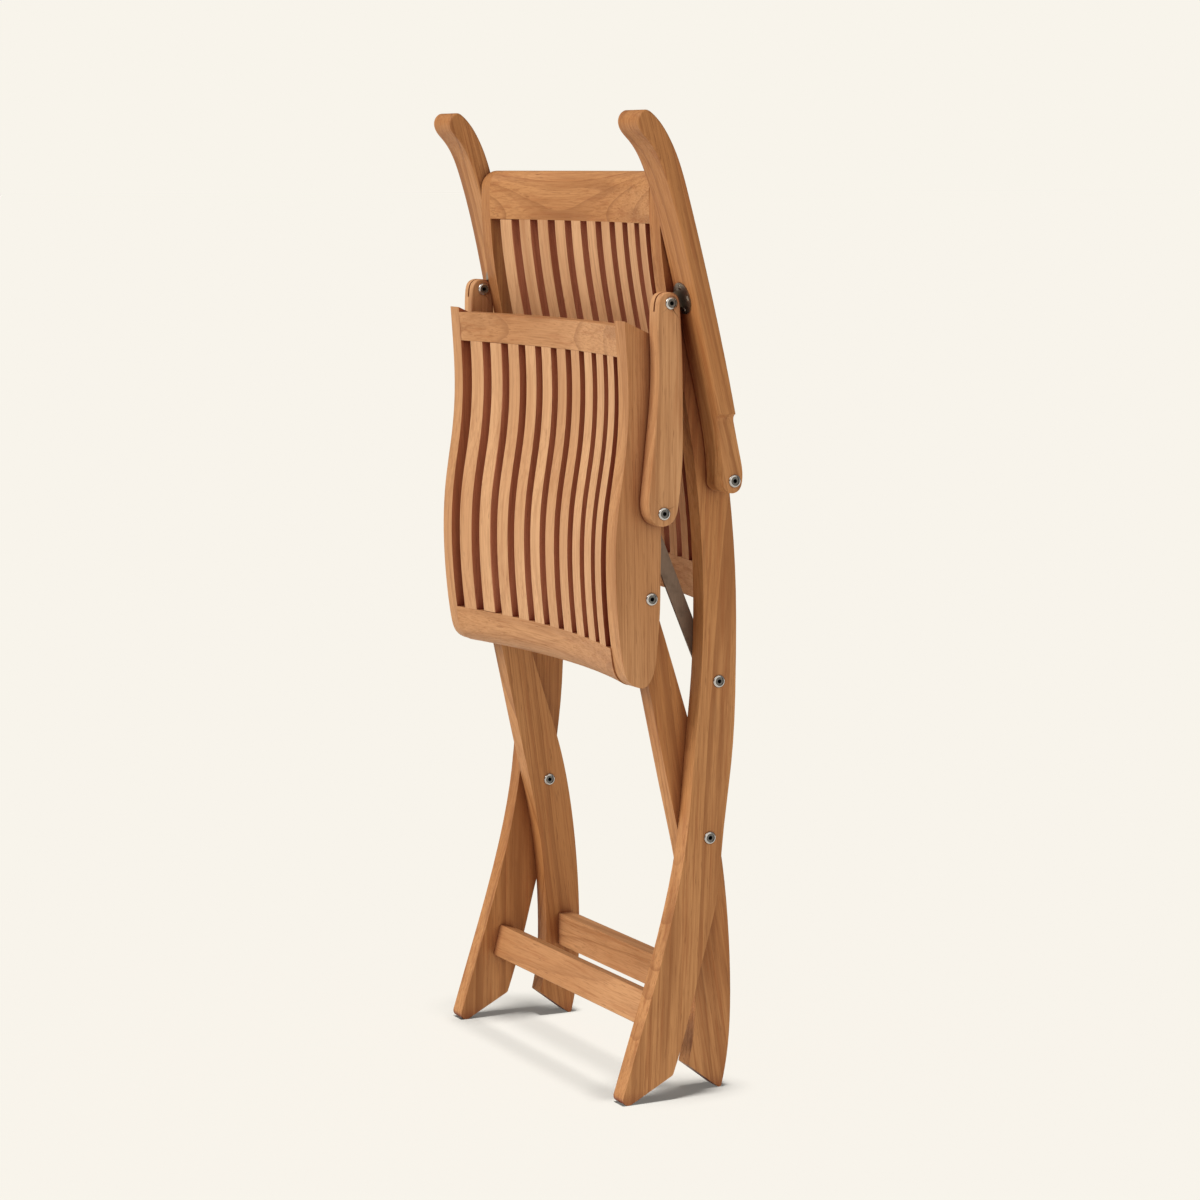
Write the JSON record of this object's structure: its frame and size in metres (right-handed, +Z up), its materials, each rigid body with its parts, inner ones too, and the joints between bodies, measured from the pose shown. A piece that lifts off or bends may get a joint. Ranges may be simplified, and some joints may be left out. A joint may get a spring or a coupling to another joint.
{
  "type": "folding armchair",
  "caption": "Folding slatted wooden armchair with crossed curved legs, dished seat and back, hinged armrests and steel pivots, shown folded flat and standing.",
  "frame": {"origin": "on the floor under the middle of the folded chair", "axes": "+Z up, +X to the viewer's right when facing the chair's front (the side view plane is YZ), the front of the chair faces -Y"},
  "size_m": [0.574, 0.1628, 1.1294],
  "materials": {
    "teak": "oiled, fine straight grain, satin",
    "steel": "satin stainless",
    "bar_steel": "dull flat stainless bar"
  },
  "bodies": {
    "back_frame": {"stile_left": "teak", "stile_right": "teak", "back_top_rail": "teak", "back_bottom_rail": "teak", "back_slat_1": "teak", "back_slat_2": "teak", "back_slat_3": "teak", "back_slat_4": "teak", "back_slat_5": "teak", "back_slat_6": "teak", "back_slat_7": "teak", "back_slat_8": "teak", "back_slat_9": "teak", "back_slat_10": "teak", "front_stretcher": "teak", "leg_pivot_bolts": "steel", "bar_pivot_bolts": "steel", "arm_pivot_bolts": "steel", "leg_washers": "steel", "arm_washers": "steel"},
    "rear_leg_frame": {"rear_leg_left": "teak", "rear_leg_right": "teak", "rear_stretcher": "teak"},
    "seat": {"seat_rail_left": "teak", "seat_rail_right": "teak", "seat_front_rail": "teak", "seat_rear_rail": "teak", "seat_slat_1": "teak", "seat_slat_2": "teak", "seat_slat_3": "teak", "seat_slat_4": "teak", "seat_slat_5": "teak", "seat_slat_6": "teak", "seat_slat_7": "teak", "seat_slat_8": "teak", "seat_slat_9": "teak", "seat_slat_10": "teak", "seat_pivot_bolts": "steel", "rail_sleeves": "steel", "link_washers": "steel"},
    "armrest_left": {"armrest_left": "teak", "arm_bracket_left": "steel", "bracket_screws_left": "steel"},
    "arm_link_left": {"arm_link_left": "teak", "link_bolts_left": "steel"},
    "seat_bar_left": {"seat_bar_left": "bar_steel", "bar_rivet_left": "steel"},
    "armrest_right": {"armrest_right": "teak", "arm_bracket_right": "steel", "bracket_screws_right": "steel"},
    "arm_link_right": {"arm_link_right": "teak", "link_bolts_right": "steel"},
    "seat_bar_right": {"seat_bar_right": "bar_steel", "bar_rivet_right": "steel"}
  },
  "joints": [
    {"name": "fold", "type": "hinge", "parent": "back_frame", "child": "rear_leg_frame", "pos_m": [0, 0.0395, 0.3023], "axis": [1, 0, 0], "range_deg": [0, 61.4]},
    {"name": "seat_hinge", "type": "hinge", "parent": "rear_leg_frame", "child": "seat", "pos_m": [0, -0.0358, 0.5816], "axis": [1, 0, 0], "range_deg": [-126.48, 0]},
    {"name": "bar_hinge_left", "type": "hinge", "parent": "back_frame", "child": "seat_bar_left", "pos_m": [-0.2085, 0.0504, 0.4827], "axis": [1, 0, 0], "range_deg": [0, 87.39]},
    {"name": "arm_hinge_left", "type": "hinge", "parent": "back_frame", "child": "armrest_left", "pos_m": [-0.257, 0.0462, 0.7152], "axis": [1, 0, 0], "range_deg": [0, 90.52]},
    {"name": "link_hinge_left", "type": "hinge", "parent": "armrest_left", "child": "arm_link_left", "pos_m": [-0.2471, -0.0246, 0.9142], "axis": [1, 0, 0], "range_deg": [-88.12, 0]},
    {"name": "bar_hinge_right", "type": "hinge", "parent": "back_frame", "child": "seat_bar_right", "pos_m": [0.2085, 0.0504, 0.4827], "axis": [1, 0, 0], "range_deg": [0, 87.39]},
    {"name": "arm_hinge_right", "type": "hinge", "parent": "back_frame", "child": "armrest_right", "pos_m": [0.257, 0.0462, 0.7152], "axis": [1, 0, 0], "range_deg": [0, 90.52]},
    {"name": "link_hinge_right", "type": "hinge", "parent": "armrest_right", "child": "arm_link_right", "pos_m": [0.2471, -0.0246, 0.9142], "axis": [1, 0, 0], "range_deg": [-88.12, 0]}
  ],
  "couplings": [
    {"joint": "seat_hinge", "follows": "fold", "ratio": -2.06},
    {"joint": "bar_hinge_left", "follows": "fold", "ratio": 1.4233},
    {"joint": "arm_hinge_left", "follows": "fold", "ratio": 1.4742},
    {"joint": "link_hinge_left", "follows": "fold", "ratio": -1.4352},
    {"joint": "bar_hinge_right", "follows": "fold", "ratio": 1.4233},
    {"joint": "arm_hinge_right", "follows": "fold", "ratio": 1.4742},
    {"joint": "link_hinge_right", "follows": "fold", "ratio": -1.4352}
  ]
}
